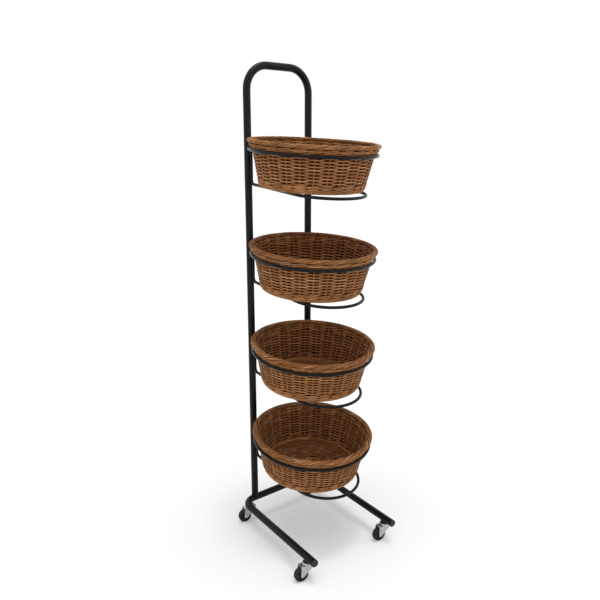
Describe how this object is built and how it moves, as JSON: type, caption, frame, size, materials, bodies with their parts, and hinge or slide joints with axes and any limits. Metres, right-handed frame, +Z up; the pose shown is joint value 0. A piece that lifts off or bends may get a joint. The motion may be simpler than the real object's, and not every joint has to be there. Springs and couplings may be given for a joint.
{
  "type": "tiered wicker basket display",
  "caption": "Rolling bent-tube rack that holds round wicker baskets one above the other in wire hoops, tilted to the front to show goods; the baskets lift out and the casters swivel.",
  "frame": {"origin": "on the floor under the middle of the base, in the rack's plane of symmetry", "axes": "+Z up, +X to the right of a shopper facing the rack, +Y to the back; the open front faces -Y"},
  "size_m": [0.4408, 0.4624, 1.6707],
  "materials": {
    "black_powder_coat": "satin powder coat",
    "black_plastic": "moulded, matt",
    "bright_zinc": "bright zinc plate",
    "tyre_rubber": "matt",
    "brown_wicker": "stained and lacquered willow"
  },
  "bodies": {
    "rack": {"back_frame": "black_powder_coat", "base_tube": "black_powder_coat", "leg_plug_left": "black_plastic", "leg_plug_right": "black_plastic", "caster_socket_front_left": "black_powder_coat", "caster_socket_front_right": "black_powder_coat", "caster_socket_back_left": "black_powder_coat", "caster_socket_back_right": "black_powder_coat", "caster_stem_front_left": "bright_zinc", "caster_stem_front_right": "bright_zinc", "caster_stem_back_left": "bright_zinc", "caster_stem_back_right": "bright_zinc", "basket_cradle_tier_1": "black_powder_coat", "basket_cradle_tier_2": "black_powder_coat", "basket_cradle_tier_3": "black_powder_coat", "basket_cradle_tier_4": "black_powder_coat", "basket_hoop_tier_1": "black_powder_coat", "basket_hoop_tier_2": "black_powder_coat", "basket_hoop_tier_3": "black_powder_coat", "basket_hoop_tier_4": "black_powder_coat"},
    "basket_tier_1": {"basket_wall_tier_1": "brown_wicker", "basket_floor_tier_1": "brown_wicker", "basket_rim_tier_1": "brown_wicker"},
    "basket_tier_2": {"basket_wall_tier_2": "brown_wicker", "basket_floor_tier_2": "brown_wicker", "basket_rim_tier_2": "brown_wicker"},
    "basket_tier_3": {"basket_wall_tier_3": "brown_wicker", "basket_floor_tier_3": "brown_wicker", "basket_rim_tier_3": "brown_wicker"},
    "basket_tier_4": {"basket_wall_tier_4": "brown_wicker", "basket_floor_tier_4": "brown_wicker", "basket_rim_tier_4": "brown_wicker"},
    "caster_front_left": {"caster_fork_front_left": "bright_zinc", "caster_axle_front_left": "bright_zinc"},
    "wheel_front_left": {"wheel_core_front_left": "black_plastic", "wheel_tyre_front_left": "tyre_rubber"},
    "caster_front_right": {"caster_fork_front_right": "bright_zinc", "caster_axle_front_right": "bright_zinc"},
    "wheel_front_right": {"wheel_core_front_right": "black_plastic", "wheel_tyre_front_right": "tyre_rubber"},
    "caster_back_left": {"caster_fork_back_left": "bright_zinc", "caster_axle_back_left": "bright_zinc"},
    "wheel_back_left": {"wheel_core_back_left": "black_plastic", "wheel_tyre_back_left": "tyre_rubber"},
    "caster_back_right": {"caster_fork_back_right": "bright_zinc", "caster_axle_back_right": "bright_zinc"},
    "wheel_back_right": {"wheel_core_back_right": "black_plastic", "wheel_tyre_back_right": "tyre_rubber"}
  },
  "joints": [
    {"name": "basket_lift_tier_1", "type": "slide", "parent": "rack", "child": "basket_tier_1", "axis": [0, -0.0872, 0.9962], "range_m": [0, 0.125]},
    {"name": "basket_lift_tier_2", "type": "slide", "parent": "rack", "child": "basket_tier_2", "axis": [0, -0.0872, 0.9962], "range_m": [0, 0.125]},
    {"name": "basket_lift_tier_3", "type": "slide", "parent": "rack", "child": "basket_tier_3", "axis": [0, -0.0872, 0.9962], "range_m": [0, 0.125]},
    {"name": "basket_lift_tier_4", "type": "slide", "parent": "rack", "child": "basket_tier_4", "axis": [0, -0.0872, 0.9962], "range_m": [0, 0.125]},
    {"name": "caster_swivel_front_left", "type": "hinge", "parent": "rack", "child": "caster_front_left", "pos_m": [-0.178, -0.178, 0.0586], "axis": [0, 0, 1], "continuous": true},
    {"name": "wheel_spin_front_left", "type": "hinge", "parent": "caster_front_left", "child": "wheel_front_left", "pos_m": [-0.19988, -0.1757, 0.025], "axis": [0.1045, 0.9945, 0], "continuous": true},
    {"name": "caster_swivel_front_right", "type": "hinge", "parent": "rack", "child": "caster_front_right", "pos_m": [0.178, -0.178, 0.0586], "axis": [0, 0, 1], "continuous": true},
    {"name": "wheel_spin_front_right", "type": "hinge", "parent": "caster_front_right", "child": "wheel_front_right", "pos_m": [0.15612, -0.1757, 0.025], "axis": [0.1045, 0.9945, 0], "continuous": true},
    {"name": "caster_swivel_back_left", "type": "hinge", "parent": "rack", "child": "caster_back_left", "pos_m": [-0.15413, 0.21273, 0.0586], "axis": [0, 0, 1], "continuous": true},
    {"name": "wheel_spin_back_left", "type": "hinge", "parent": "caster_back_left", "child": "wheel_back_left", "pos_m": [-0.17601, 0.21503, 0.025], "axis": [0.1045, 0.9945, 0], "continuous": true},
    {"name": "caster_swivel_back_right", "type": "hinge", "parent": "rack", "child": "caster_back_right", "pos_m": [0.15413, 0.21273, 0.0586], "axis": [0, 0, 1], "continuous": true},
    {"name": "wheel_spin_back_right", "type": "hinge", "parent": "caster_back_right", "child": "wheel_back_right", "pos_m": [0.13225, 0.21503, 0.025], "axis": [0.1045, 0.9945, 0], "continuous": true}
  ]
}
